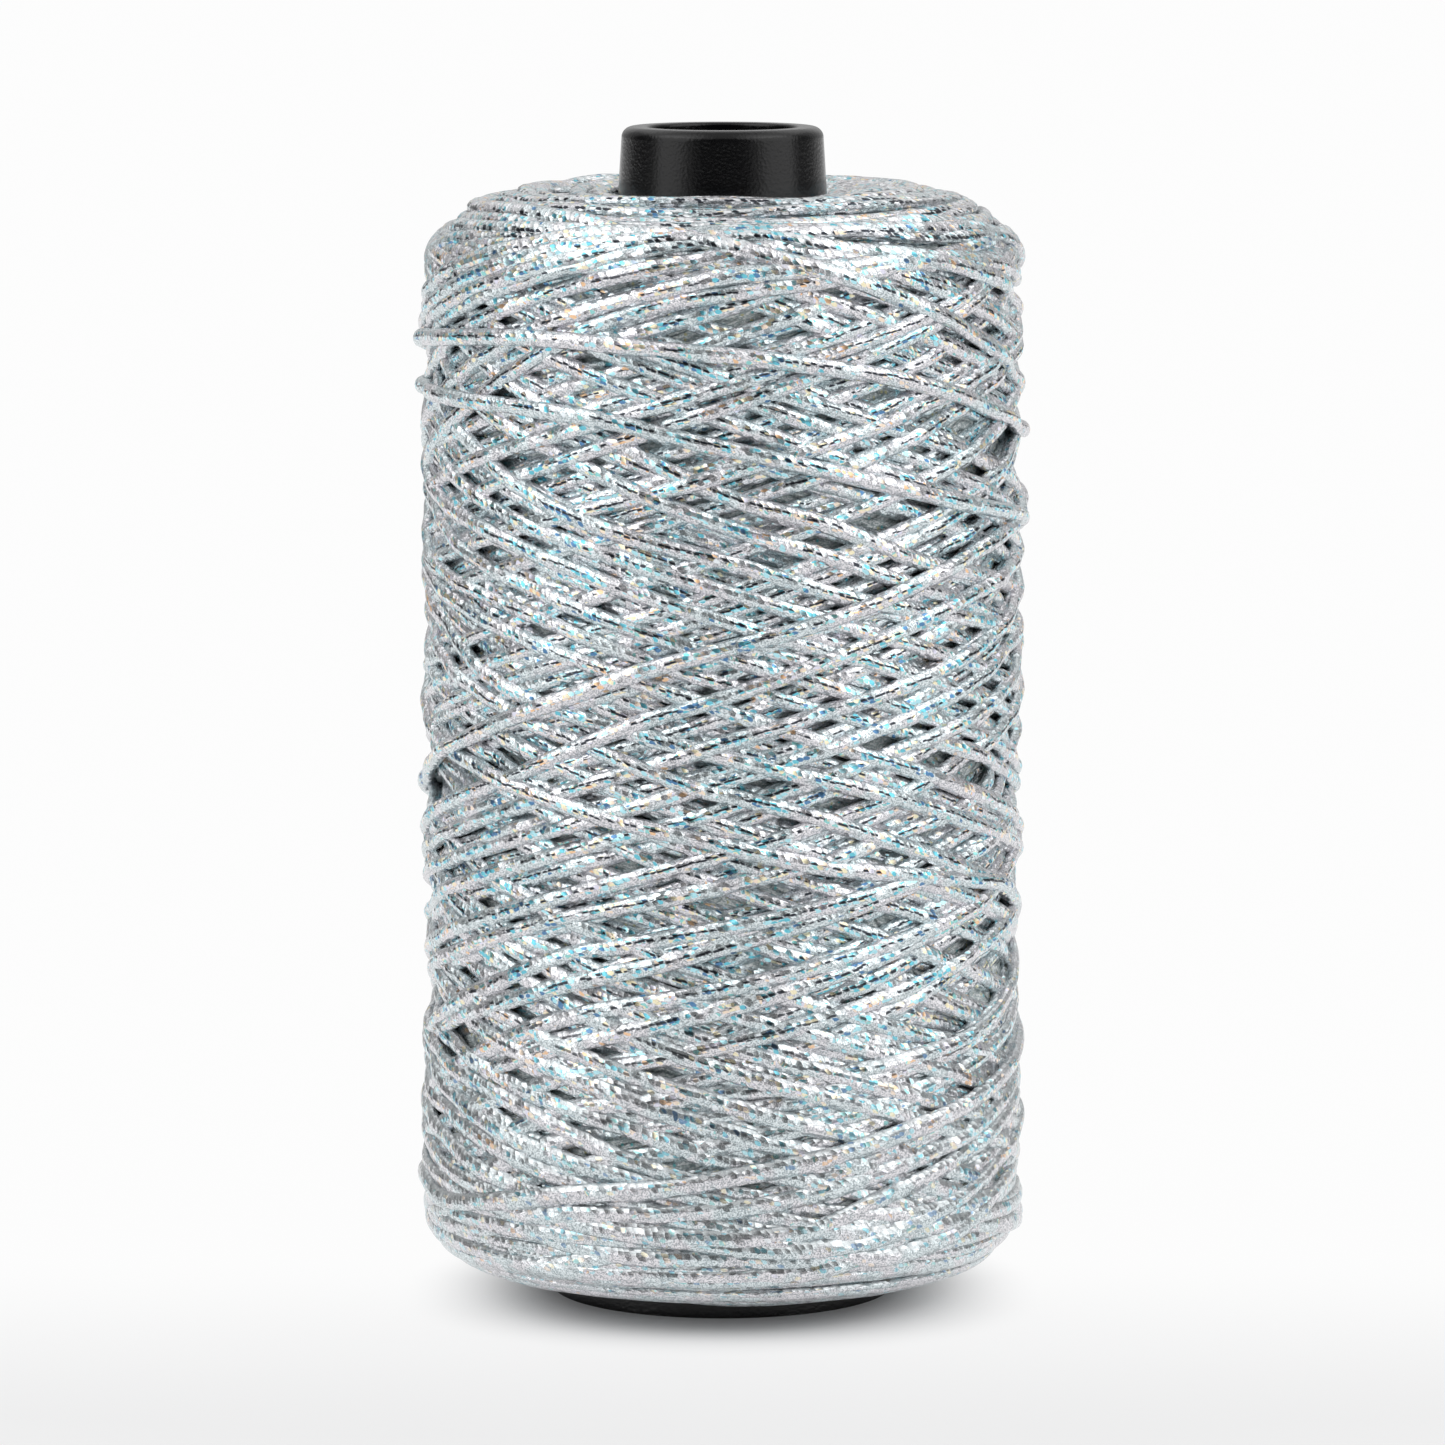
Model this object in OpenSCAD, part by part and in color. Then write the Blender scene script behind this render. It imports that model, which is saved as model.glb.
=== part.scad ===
// Cross-wound package of flat metallic cord on a conical moulded tube.
// The origin is the centre of the foot, on the surface that the package stands on, and +Z runs up
// the tube. Sizes are in millimetres.

/* [Tube] */
// Length of the tube, foot to nose
tube_len = 170; // [150:5:230]
// Outside diameter of the tube at its foot
foot_d = 49.8; // [46:0.2:60]
// Half angle of the tube's cone, in degrees
half_angle = 3.5; // [3:0.1:3.8]
// Wall of the tube
wall = 2; // [1.2:0.1:2.6]
// Length of the straight seat inside the foot
foot_seat = 6.5; // [4:0.5:12]
// Thickness of the collar in the nose, from its bore to the tube's outside at the very top
nose_collar = 3.7; // [3:0.1:4.5]
// Length of the straight bore in the nose
nose_land = 8; // [5:0.5:12]
// Radius that rounds the outer edge of the nose
nose_round = 1.6; // [0.8:0.1:2]
// Radius that eases the mouth of the nose bore
mouth_round = 0.5; // [0.2:0.1:0.8]

/* [Package] */
// Diameter over the outermost turns
package_d = 87.4; // [80:0.2:100]
// Length of bare tube above the winding
bare_nose = 9; // [6:0.5:20]
// Height of the winding's underside above the foot
bare_foot = 2.2; // [1.6:0.1:6]
// Radial room between the tube and the first layer
tube_clear = 0.2; // [0.1:0.05:0.4]
// Diameter of the crest, the highest ring of the winding
crest_d = 49; // [46:0.5:56]
// How far the winding dips from the crest to the tube
crest_dip = 1.6; // [0.8:0.1:3]
// Height of the rounded upper shoulder
upper_shoulder = 11; // [6:0.5:14]
// Height of the rounded lower shoulder
lower_shoulder = 12; // [6:0.5:16]

/* [Cord] */
// Width of the flattened cord, along the package
cord_w = 2.4; // [1.6:0.1:3]
// Thickness of the flattened cord, across the layers
cord_t = 1.5; // [1:0.1:2.2]
// Turns in one stroke, from one shoulder to the other
stroke_turns = 2.4; // [2.4:0.2:2.6]
// Strokes in the outer layers, down and up in turn
strokes = 10; // [6:2:10]
// Room between an upward stroke and the wound body
seat_clear = 0.6; // [0.55:0.05:0.8]
// Room between a downward stroke and the upward one that it crosses
layer_gap = 0.85; // [0.85:0.05:1.2]
// Radius of the bend where an end of the cord turns into the wound body
end_bend = 1.3; // [1.2:0.1:1.5]

/* [Hidden] */
$fn = 96;

tube_colour = [0.04, 0.04, 0.045];
wound_colour = [0.52, 0.56, 0.58];
cord_colour = [0.74, 0.77, 0.79];

// Tube: the outer cone, and the inner wall that runs beside it from the foot's seat to the nose.
taper = tan(half_angle);
foot_r = foot_d / 2;
nose_r = foot_r - tube_len * taper;
nose_bore_r = nose_r - nose_collar;
function tube_r(z) = foot_r - z * taper;
foot_seat_r = tube_r(foot_seat) - wall;
nose_floor = tube_len - nose_land;
nose_floor_r = tube_r(nose_floor) - wall;
nose_step = nose_floor_r - nose_bore_r;

// Package: the wound body fills it at the ends, and lies inside the two layers of outer turns elsewhere.
lift_up = cord_t / 2 + seat_clear;
lift_down = lift_up + cord_t + layer_gap;
body_r = package_d / 2 - lift_down - cord_t / 2;
crest_r = crest_d / 2;
body_low = bare_foot;
body_top = tube_len - bare_nose;
side_low = body_low + lower_shoulder;
side_top = body_top - upper_shoulder;
low_r = foot_r + lift_down;
shoulder_steps = 16;

// Cord: an unbroken tube in alternate strokes, with a fixed number of rings in each turn.
ring_sides = 6;
rings_per_turn = 24;
turn_back = 0.055; // share of a turn in which a stroke bends round into the next
swap = 0.072; // share of a turn in which the cord passes between its two layers, each side of a reversal
reach = 35; // how far round each shoulder a stroke goes, in degrees
end_turn = 0.036; // share of a turn between the last reversal and each end of the cord
end_rings = 5;
end_gap = 0.1; // room between an end of the cord and the wound body that it meets
total_turns = strokes * stroke_turns;
path_top = side_top + upper_shoulder * reach * PI / 180;
path_low = side_low - lower_shoulder * reach * PI / 180;
rise = (path_top - path_low) / (stroke_turns - turn_back);

function quarter(rx, rz, from, to) =
    [for (i = [0:shoulder_steps])
        let (a = from + (to - from) * i / shoulder_steps) [rx * cos(a), rz * sin(a)]];
function shifted(points, x, z) = [for (p = points) [p[0] + x, p[1] + z]];

// Outline of the wound body from the crest, down its side, to its underside.
function body_outline() = concat(
    shifted(quarter(body_r - crest_r, upper_shoulder, 90, 0), crest_r, side_top),
    shifted(quarter(body_r - low_r, lower_shoulder, 0, -90), low_r, side_low));

module cone_tube() {
    color(tube_colour)
    rotate_extrude()
    polygon(concat(
        [[foot_seat_r, 0], [foot_r, 0]],
        shifted(quarter(nose_round, nose_round, half_angle, 90),
            nose_r + nose_round * taper - nose_round, tube_len - nose_round),
        shifted(quarter(mouth_round, mouth_round, 90, 180),
            nose_bore_r + mouth_round, tube_len - mouth_round),
        [[nose_bore_r, nose_floor], [nose_floor_r, nose_floor - nose_step],
         [foot_seat_r, foot_seat]]));
}

module wound_body() {
    inner_top = body_top - crest_dip;
    color(wound_colour)
    rotate_extrude()
    polygon(concat(
        [[tube_r(inner_top) + tube_clear, inner_top]],
        body_outline(),
        [[tube_r(body_low) + tube_clear, body_low]]));
}

// Place and outward direction on the wound body at a run u along its side, past the shoulders too.
function turn_angle(u) = u > side_top ? (u - side_top) / upper_shoulder * 180 / PI
    : u < side_low ? (u - side_low) / lower_shoulder * 180 / PI
    : 0;
function body_point(u) = let (a = turn_angle(u))
    a > 0 ? [crest_r + (body_r - crest_r) * cos(a), side_top + upper_shoulder * sin(a)]
    : a < 0 ? [low_r + (body_r - low_r) * cos(a), side_low + lower_shoulder * sin(a)]
    : [body_r, u];
function outward(u) = let (
        a = turn_angle(u),
        rx = a > 0 ? body_r - crest_r : body_r - low_r,
        rz = a > 0 ? upper_shoulder : lower_shoulder,
        n = a == 0 ? [1, 0] : [cos(a) / rx, sin(a) / rz])
    n / norm(n);

// How far a stroke has run after x turns: steady, and eased where it reverses.
function eased(x) = x < turn_back ? x * x / (2 * turn_back)
    : x > stroke_turns - turn_back
        ? stroke_turns - turn_back - pow(stroke_turns - x, 2) / (2 * turn_back)
    : x - turn_back / 2;
function run(t) = let (x = t % (2 * stroke_turns))
    path_top - rise * eased(x < stroke_turns ? x : 2 * stroke_turns - x);

// 1 on a downward stroke and 0 on an upward one, with a steady swap at each reversal.
function share(x) = sin(90 * max(-1, min(1, x / swap)));
function layer(t) = let (x = t % (2 * stroke_turns))
    t < stroke_turns / 2 ? 1
    : t > total_turns - swap ? min(1, 1 - (total_turns - end_turn - t) / (swap - end_turn))
    : x < stroke_turns / 2 ? (1 + share(x)) / 2
    : x < stroke_turns * 1.5 ? (1 - share(x - stroke_turns)) / 2
    : (1 - share(2 * stroke_turns - x)) / 2;

function around(p, t) = [p[0] * cos(360 * t), p[0] * sin(360 * t), p[1]];
function spot(t) = around(
    body_point(run(t)) + outward(run(t)) * (lift_up + (lift_down - lift_up) * layer(t)), t);
function lean(t) = around(outward(run(t)), t);
function unit(v) = v / norm(v);

ring_count = round(total_turns * rings_per_turn);
main_turns = [for (i = [0:ring_count])
    end_turn + (total_turns - 2 * end_turn) * i / ring_count];
main_spots = [for (t = main_turns) spot(t)];
main_leans = [for (t = main_turns) lean(t)];

// Each end bends through a right angle and runs straight into the wound body.
function end_spots(place, lean, along) = concat(
    [for (i = [1:end_rings])
        let (a = 90 * i / end_rings)
        place + lean * end_bend * (cos(a) - 1) + along * end_bend * sin(a)],
    [place + along * end_bend - lean * (lift_down - end_gap)]);
function end_leans(lean, along) = concat(
    [for (i = [1:end_rings]) let (a = 90 * i / end_rings) lean * cos(a) + along * sin(a)],
    [along]);
function reversed(list) = [for (i = [len(list) - 1:-1:0]) list[i]];

first_along = unit(main_spots[0] - main_spots[1]);
last_along = unit(main_spots[ring_count] - main_spots[ring_count - 1]);
spots = concat(
    reversed(end_spots(main_spots[0], main_leans[0], first_along)),
    main_spots,
    end_spots(main_spots[ring_count], main_leans[ring_count], last_along));
leans = concat(
    reversed(end_leans(main_leans[0], first_along)),
    main_leans,
    end_leans(main_leans[ring_count], last_along));
last = len(spots) - 1;

function along_at(i) = unit(spots[min(i + 1, last)] - spots[max(i - 1, 0)]);
aheads = [for (i = [0:last]) along_at(i)];
outs = [for (i = [0:last]) unit(leans[i] - aheads[i] * (leans[i] * aheads[i]))];
sides = [for (i = [0:last]) cross(aheads[i], outs[i])];

module outer_turns() {
    points = [for (i = [0:last], k = [0:ring_sides - 1])
        let (a = 360 * k / ring_sides)
        spots[i] + outs[i] * cos(a) * cord_t / 2 + sides[i] * sin(a) * cord_w / 2];
    skin = [for (i = [0:last - 1], k = [0:ring_sides - 1])
        let (
            a = i * ring_sides + k,
            b = i * ring_sides + (k + 1) % ring_sides)
        each [[a, a + ring_sides, b], [b, a + ring_sides, b + ring_sides]]];
    caps = [for (k = [1:ring_sides - 2])
        each [[0, k, k + 1],
              [last * ring_sides, last * ring_sides + k + 1, last * ring_sides + k]]];
    color(cord_colour)
    polyhedron(points, concat(skin, caps));
}

// Least gap from the cord to itself, along the line between points spread over its straight pieces.
samples = 4;
near = 3 * cord_w;
function between(i, s) = spots[i] + (spots[i + 1] - spots[i]) * s / samples;
function half_size(i, d) = norm([d * outs[i] * cord_t / 2, d * sides[i] * cord_w / 2]);
function gap(p, q, i, j) = let (d = unit(q - p)) norm(q - p) - half_size(i, d) - half_size(j, d);
piece = 2 * PI * package_d / 2 / rings_per_turn;
least_gap = min([for (i = [end_rings:last - 1], j = [i + 3:1:last - 1 - end_rings])
    if (abs(spots[i][2] - spots[j][2]) < near && norm(spots[i] - spots[j]) < piece + near)
        for (s = [0:samples - 1], r = [0:samples - 1])
            gap(between(i, s), between(j, r), i, j)]);

cone_tube();
wound_body();
outer_turns();
echo(least_gap = least_gap);  // outer_turns
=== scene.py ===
# %% [markdown]
# # A cross-wound cone of metallic cord
#
# The object is a black conical tube with more than a hundred metres of silver cord wound on it. A
# winding machine turns the tube at a steady speed and guides the cord up and down, so the strands
# cross at an open angle and hold each other in place.
#
# The model is made the way the package is made: one path for the cord, laid turn by turn on a map
# of heights, so that each new strand really rests on the strands below it. The construction model
# gives the frame, and everything here rides on its only body.

# %% Load the frame
import bpy
import numpy as np
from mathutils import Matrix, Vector


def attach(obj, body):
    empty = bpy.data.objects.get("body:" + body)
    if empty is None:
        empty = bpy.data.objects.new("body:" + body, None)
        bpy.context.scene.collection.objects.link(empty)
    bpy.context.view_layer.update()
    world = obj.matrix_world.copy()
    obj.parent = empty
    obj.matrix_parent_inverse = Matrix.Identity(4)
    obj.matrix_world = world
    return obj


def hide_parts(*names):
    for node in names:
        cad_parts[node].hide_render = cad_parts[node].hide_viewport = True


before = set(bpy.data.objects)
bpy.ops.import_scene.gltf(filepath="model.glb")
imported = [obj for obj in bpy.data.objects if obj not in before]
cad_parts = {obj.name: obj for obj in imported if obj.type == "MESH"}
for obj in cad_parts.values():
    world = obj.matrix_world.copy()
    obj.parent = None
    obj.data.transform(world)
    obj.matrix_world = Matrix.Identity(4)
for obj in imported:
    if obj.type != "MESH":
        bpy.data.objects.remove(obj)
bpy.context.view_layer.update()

# %% [markdown]
# ## The camera
#
# The camera comes first, because the strands that everybody sees are placed by where they show in its
# picture. A long lens from a little above keeps the package's sides nearly parallel. Lengths are in
# millimetres until something is given to Blender, which works in metres.

# %% Camera
MM = 0.001
LENS = 190.5
SENSOR = 36.0
CAMERA_PLACE = np.array([0.0, -1105.0, 227.0])
CAMERA_AIM = np.array([0.0, 0.0, 83.25])
camera_lens = bpy.data.cameras.new("camera")
camera_lens.lens = LENS
camera_lens.sensor_width = SENSOR
camera = bpy.data.objects.new("camera", camera_lens)
camera.location = CAMERA_PLACE * MM
aim = Vector(CAMERA_AIM - CAMERA_PLACE)
camera.rotation_euler = aim.to_track_quat("-Z", "Y").to_euler()
bpy.context.scene.collection.objects.link(camera)
bpy.context.scene.camera = camera
bpy.context.scene.view_settings.view_transform = "Standard"
print("camera, mm from what it looks at:", round(float(np.linalg.norm(CAMERA_AIM - CAMERA_PLACE))))

# %% [markdown]
# ## The outline of the winding
#
# Cut through its axis, the winding is a straight side with a rounded shoulder at each end. A cord
# path could be worked out on a cylinder and bent afterwards. It is simpler to walk along the outline
# itself: one number, the run, says how far along the outline a point is, from the nose down, and a
# second, the turn, says how far round. Above the foot the winding bulges a little beyond its side.

# %% Outline as a table of radius and height by run
SIDE_RADIUS = 42.6
CREST_RADIUS = 26.5
CREST_HEIGHT = 160.7
INNER_RADIUS = 15.3
INNER_HEIGHT = 159.8
SIDE_TOP = 150.2
SIDE_FOOT = 11.6
FOOT_RADIUS = 25.6
FOOT_HEIGHT = 3.6
UPPER_POWER = 1.95
LOWER_POWER = 2.0
FOOT_LIP = 0.6
FULLER_FOOT = 0.85
FULLER_HEIGHTS = [22, 48]
FULLER_FROM_RADIUS = 27
FULLER_OVER_RADIUS = 8
RUN_STEP = 0.1
SLOPE_SMOOTH = 12
PAST_CREST = 0.5


def rounded_corner(power, count=400):
    """Points of a quarter superellipse from (0, 1) to (1, 0)."""
    angle = np.linspace(0, np.pi / 2, count)
    return np.sin(angle) ** (2 / power), np.cos(angle) ** (2 / power)


def smoothed(values, sigma):
    """Values under a Gaussian of sigma samples, with the ends held."""
    reach = int(np.ceil(3 * sigma))
    kernel = np.exp(-0.5 * (np.arange(-reach, reach + 1) / sigma) ** 2)
    padded = np.concatenate([np.full(reach, values[0]), values, np.full(reach, values[-1])])
    return np.convolve(padded, kernel / kernel.sum(), "valid")


upper_out, upper_up = rounded_corner(UPPER_POWER)
lower_down, lower_out = rounded_corner(LOWER_POWER)
upper_shoulder = np.stack([CREST_RADIUS + (SIDE_RADIUS - CREST_RADIUS) * upper_out,
                           SIDE_TOP + (CREST_HEIGHT - SIDE_TOP) * upper_up], 1)
lower_shoulder = np.stack([FOOT_RADIUS + (SIDE_RADIUS - FOOT_RADIUS) * lower_out,
                           SIDE_FOOT - (SIDE_FOOT - FOOT_HEIGHT) * lower_down], 1)
outline = np.concatenate([
    [[INNER_RADIUS, INNER_HEIGHT]],
    upper_shoulder,
    lower_shoulder,
    [[FOOT_RADIUS - FOOT_LIP, FOOT_HEIGHT]]])
walked = np.concatenate([[0], np.cumsum(np.linalg.norm(np.diff(outline, axis=0), axis=1))])
run_table = np.arange(0, walked[-1], RUN_STEP)
radius_table = np.interp(run_table, walked, outline[:, 0])
height_table = np.interp(run_table, walked, outline[:, 1])
fuller = np.interp(height_table, FULLER_HEIGHTS, [1, 0])
fuller *= np.clip((radius_table - FULLER_FROM_RADIUS) / FULLER_OVER_RADIUS, 0, 1)
radius_table += FULLER_FOOT * fuller
slope_r = smoothed(np.gradient(radius_table), SLOPE_SMOOTH)
slope_z = smoothed(np.gradient(height_table), SLOPE_SMOOTH)
slope_size = np.hypot(slope_r, slope_z)
FULL_RUN = run_table[-1]
CREST_RUN = CREST_RADIUS - INNER_RADIUS
below_crest = run_table > CREST_RUN + PAST_CREST


def radius_at(run):
    """Radius of the outline at a run."""
    return np.interp(run, run_table, radius_table)


def run_at(height):
    """Run of a height, on the part of the outline below the crest."""
    return np.interp(-np.asarray(height, float), -height_table[below_crest], run_table[below_crest])


def on_outline(run, turn, lift):
    """Points at a lift above the outline, and the outward direction there."""
    angle = 2 * np.pi * turn
    lean_r = np.interp(run, run_table, -slope_z / slope_size)
    lean_z = np.interp(run, run_table, slope_r / slope_size)
    radius = radius_at(run) + lift * lean_r
    height = np.interp(run, run_table, height_table) + lift * lean_z
    place = np.stack([radius * np.sin(angle), -radius * np.cos(angle), height], -1)
    out = np.stack([lean_r * np.sin(angle), -lean_r * np.cos(angle), lean_z], -1)
    return place, out


print("run along the outline, mm:", round(FULL_RUN, 1))

# %% [markdown]
# ## The path of the cord
#
# The guide moves up and down once in almost four turns of the tube. The small remainder shifts each
# double stroke a little against the last, which is why neighbouring strands lie side by side. The
# older strokes go further in over both shoulders and lie there for two turns: those turns make the
# two end faces. The newest strokes reverse on the shoulders, each at a place of its own. The very
# first strokes are only laid to make a ground, and aren't shown.
#
# The path is a list of knots, turn against run, joined by straight lines and smoothed, because a
# soft cord under tension can't follow a sharp corner. Slow noise lets each strand wander a little.

# %% Knots of the winding
dice = np.random.default_rng(4)
TURN_STEP = 0.0009
DOUBLE_STROKE = 3.939
NEWEST_TOP = 0.95
NEWEST_FOOT = 2.85
BED_STROKES = 3
FACE_STROKES = 16
SIDE_STROKES = 36
STROKES = BED_STROKES + FACE_STROKES + SIDE_STROKES
FACE_TURNS = 2
RISE = 80.0
FACE_TOP_END = run_at(152.5)
FACE_FOOT_END = run_at(24.0)
TOP_REVERSAL = run_at(158.3)
FOOT_REVERSAL = run_at(16.5)
SHORT_TOP = 14.0
LONG_FOOT = 12.0
TOP_DWELL = 0.10
FOOT_DWELL = 0.15
TOP_SPREAD = (1.2, 1.8)
FOOT_SPREAD = (1.0, 1.8)
TOP_SCATTER = 0.8
FOOT_SCATTER = 1.2
EDGE_RUN = 1.9
FACE_DRIFT = 0.9
KNOTS_A_STROKE = 4
CORNER = 0.03


def scatter(size):
    """A random shift, up to size each way."""
    return float(dice.uniform(-size, size))


knots = []
clock = 0.0
for age in reversed(range(STROKES)):
    on_faces = SIDE_STROKES <= age < SIDE_STROKES + FACE_STROKES
    outward = 1 - (age - SIDE_STROKES + 1) / FACE_STROKES
    top = TOP_REVERSAL + SHORT_TOP * float(dice.beta(*TOP_SPREAD))
    foot = FOOT_REVERSAL + LONG_FOOT * float(dice.beta(*FOOT_SPREAD))
    if on_faces:
        deep = EDGE_RUN + (FACE_TOP_END - EDGE_RUN) * outward
        climb = abs(top - deep) / RISE
        knots += [(clock + climb, deep), (clock + FACE_TURNS - climb, deep + FACE_DRIFT)]
        clock += FACE_TURNS
    else:
        knots += [(clock - TOP_DWELL, top + scatter(TOP_SCATTER)),
                  (clock + TOP_DWELL, top + scatter(TOP_SCATTER))]
    clock += NEWEST_FOOT - NEWEST_TOP
    if on_faces:
        deep = FULL_RUN - EDGE_RUN - (FULL_RUN - EDGE_RUN - FACE_FOOT_END) * outward
        climb = abs(deep - foot) / RISE
        knots += [(clock + climb, deep), (clock + FACE_TURNS - climb, deep - FACE_DRIFT)]
        clock += FACE_TURNS
    else:
        knots += [(clock - FOOT_DWELL, foot + scatter(FOOT_SCATTER)),
                  (clock + FOOT_DWELL, foot + scatter(FOOT_SCATTER))]
    clock += DOUBLE_STROKE - NEWEST_FOOT + NEWEST_TOP
knots = np.array(knots)
knots[:, 0] += NEWEST_FOOT + FOOT_DWELL - knots[-1, 0]
first_shown = knots[KNOTS_A_STROKE * BED_STROKES, 0]
print("double strokes:", STROKES, "first shown at turn", round(first_shown, 2))

# %% [markdown]
# ## The strands that lie on top
#
# The last strokes are the ones that everybody sees, so some of them follow lines of their own. Each
# line is a list of places, chosen in the camera's picture, as pixels from its left and top. A
# ray from the camera through such a pixel meets the winding at a height, so many degrees round from the
# front. The path is pulled to those places and eased back to its own line a quarter of a turn before
# and after them.

# %% From the picture to the winding
PICTURE = 1445
FOCAL = LENS / SENSOR * PICTURE
SEEN_LIFT = 0.3
SHORTEST_RAY = 1040
LONGEST_RAY = 1115
RAY_STEP = 0.05
forward = (CAMERA_AIM - CAMERA_PLACE) / np.linalg.norm(CAMERA_AIM - CAMERA_PLACE)
rightward = np.array([1.0, 0.0, 0.0])
upward = np.cross(rightward, forward)
reaches = np.arange(SHORTEST_RAY, LONGEST_RAY, RAY_STEP)


def seen_at(x, y):
    """Degrees round from the front and height of the place that shows at a pixel of the picture."""
    ray = forward + (rightward * (x - PICTURE / 2) - upward * (y - PICTURE / 2)) / FOCAL
    spots = CAMERA_PLACE + np.outer(reaches, ray / np.linalg.norm(ray))
    radius = np.interp(-spots[:, 2], -height_table[below_crest], radius_table[below_crest],
                       left=0, right=0)
    inside_by = radius + SEEN_LIFT - np.hypot(spots[:, 0], spots[:, 1])
    nearest = np.argmax(inside_by > 0) if inside_by.max() > 0 else np.argmax(inside_by)
    spot = spots[nearest]
    return float(np.degrees(np.arctan2(spot[0], -spot[1]))), float(spot[2])


# %% Lines of single strands, by turn
picture_lines = {
    6: [(423, 387), (453, 397), (526, 407), (610, 420), (695, 443), (762, 456), (846, 475), (930, 496),
        (972, 506)],
    5: [(416, 337), (442, 337), (484, 337), (526, 338), (610, 344), (695, 353), (762, 359), (888, 376),
        (972, 399), (1024, 430)],
    4: [(425, 775), (463, 742), (526, 713), (579, 694), (642, 671), (720, 650), (815, 624), (878, 601),
        (941, 569), (994, 538), (1008, 525)],
    3: [(424, 1176), (435, 1197), (485, 1202), (585, 1193), (733, 1176), (875, 1142), (965, 1104),
        (1015, 1050)],
    2: [(436, 731), (484, 771), (547, 797), (610, 820), (690, 837), (815, 866), (920, 876), (1001, 882)],
    1: [(420, 300), (448, 270), (505, 247), (589, 234), (663, 236), (720, 243), (783, 264), (878, 289),
        (941, 315), (1000, 353), (1019, 382)],
    0: [(518, 776), (579, 747), (642, 721), (720, 700), (815, 666), (878, 641), (941, 611), (1000, 578),
        (1021, 553)],
    -1: [(436, 1174), (475, 1198), (523, 1215), (582, 1215), (675, 1216), (765, 1206), (865, 1178),
         (955, 1142), (1011, 1092)],
    -2: [(621, 761), (695, 790), (762, 803), (804, 814)],
    -3: [(762, 235), (825, 245), (909, 258), (972, 270), (1015, 289)],
    -4: [(741, 738), (825, 713), (930, 675), (987, 641), (1010, 612)],
    -5: [(435, 1154), (483, 1190), (573, 1223), (680, 1240), (805, 1236), (895, 1192), (967, 1154),
         (1009, 1112)],
    -6: [(495, 681), (537, 702), (720, 756), (846, 786), (909, 801), (983, 828)],
    -8: [(562, 827), (790, 761), (878, 730), (983, 675), (1008, 647)],
    -9: [(438, 1132), (485, 1174), (539, 1196), (670, 1238), (774, 1252), (865, 1244), (955, 1202),
         (1013, 1140)],
    -10: [(436, 582), (480, 620), (526, 639), (619, 674)],
    -11: [(438, 325), (495, 289), (590, 260), (670, 246)],
    -12: [(562, 853), (862, 765), (962, 723), (1002, 690)],
    -13: [(433, 1098), (503, 1152), (589, 1190), (722, 1229), (824, 1254), (891, 1260), (965, 1226),
          (1005, 1180)],
    -14: [(432, 563), (470, 590), (568, 630), (650, 663)],
    -15: [(470, 323), (568, 285), (674, 263), (730, 255)],
    -16: [(562, 897)],
    -17: [(439, 1078), (489, 1126), (555, 1158), (625, 1180), (722, 1203), (848, 1236)],
    -18: [(436, 527), (474, 563), (547, 597), (642, 633), (701, 650)],
    -19: [(535, 327), (632, 298), (730, 274)],
    -20: [(562, 918)],
    -21: [(437, 1054), (483, 1088), (543, 1120), (615, 1158), (667, 1176), (824, 1213)],
    -22: [(440, 500), (495, 534), (579, 574), (705, 616)],
    -23: [(579, 332), (674, 301), (730, 294)],
    -24: [(562, 954)],
    -25: [(443, 1034), (515, 1090), (615, 1124), (725, 1164), (871, 1193)],
    -26: [(484, 506), (610, 557), (730, 593), (813, 618)],
    -28: [(562, 985)],
    -29: [(477, 1028), (555, 1070), (659, 1112), (777, 1146), (827, 1156), (980, 1200)],
    -30: [(535, 500), (621, 536), (730, 563), (853, 601)],
    -32: [(562, 1017)],
    -33: [(543, 1040), (667, 1088), (775, 1120), (875, 1140)],
    -34: [(720, 527), (836, 559), (888, 578)],
    -36: [(564, 1045)],
    -37: [(639, 1040), (751, 1080), (827, 1098), (915, 1118)],
    -38: [(741, 504), (825, 523), (920, 563)],
    -40: [(564, 1076)],
    -41: [(715, 1046), (811, 1070), (887, 1089), (945, 1104)],
    -44: [(564, 1107)],
    -45: [(819, 1038), (881, 1054), (969, 1076)],
    -48: [(564, 1138)],
    -49: [(895, 1028), (981, 1050)],
    -52: [(564, 1169)],
}
strand_lines = {turn: [seen_at(x, y) for x, y in line] for turn, line in picture_lines.items()}
print("strands with lines of their own:", len(strand_lines))

# %% Last turns, and the wander of the path


def end_of_line(whole_turn, place):
    """Turn and height at the first (0) or last (-1) place of a strand's line."""
    degrees, height = strand_lines[whole_turn][place]
    return whole_turn + degrees / 360, height


last_turns = [end_of_line(4, -1), end_of_line(5, 0), (4.89, 142.4), end_of_line(5, -1),
              end_of_line(6, 0), end_of_line(6, -1), (6.56, 100.0)]
knots = np.concatenate([knots, [(turn, run_at(height)) for turn, height in last_turns]])
EASE = 0.25
EASE_SMOOTH = 0.012
WANDER_TURNS = 0.4
WANDER = 0.9
END_WANDER_TURNS = 0.17
END_WANDER = 1.0
END_SMOOTH = 0.05
NEAR_TOP = 12
NEAR_FOOT = 10
LIMIT_RUN = 1.3
NOISE_SMOOTH = 0.35


def slow_noise(count, spacing, size):
    """Smooth noise of about that size, with a new value each spacing samples."""
    places = np.arange(0, count + 2 * spacing, spacing)
    rough = np.interp(np.arange(count), places, dice.normal(0, size, len(places)))
    return smoothed(rough, spacing * NOISE_SMOOTH)


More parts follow.
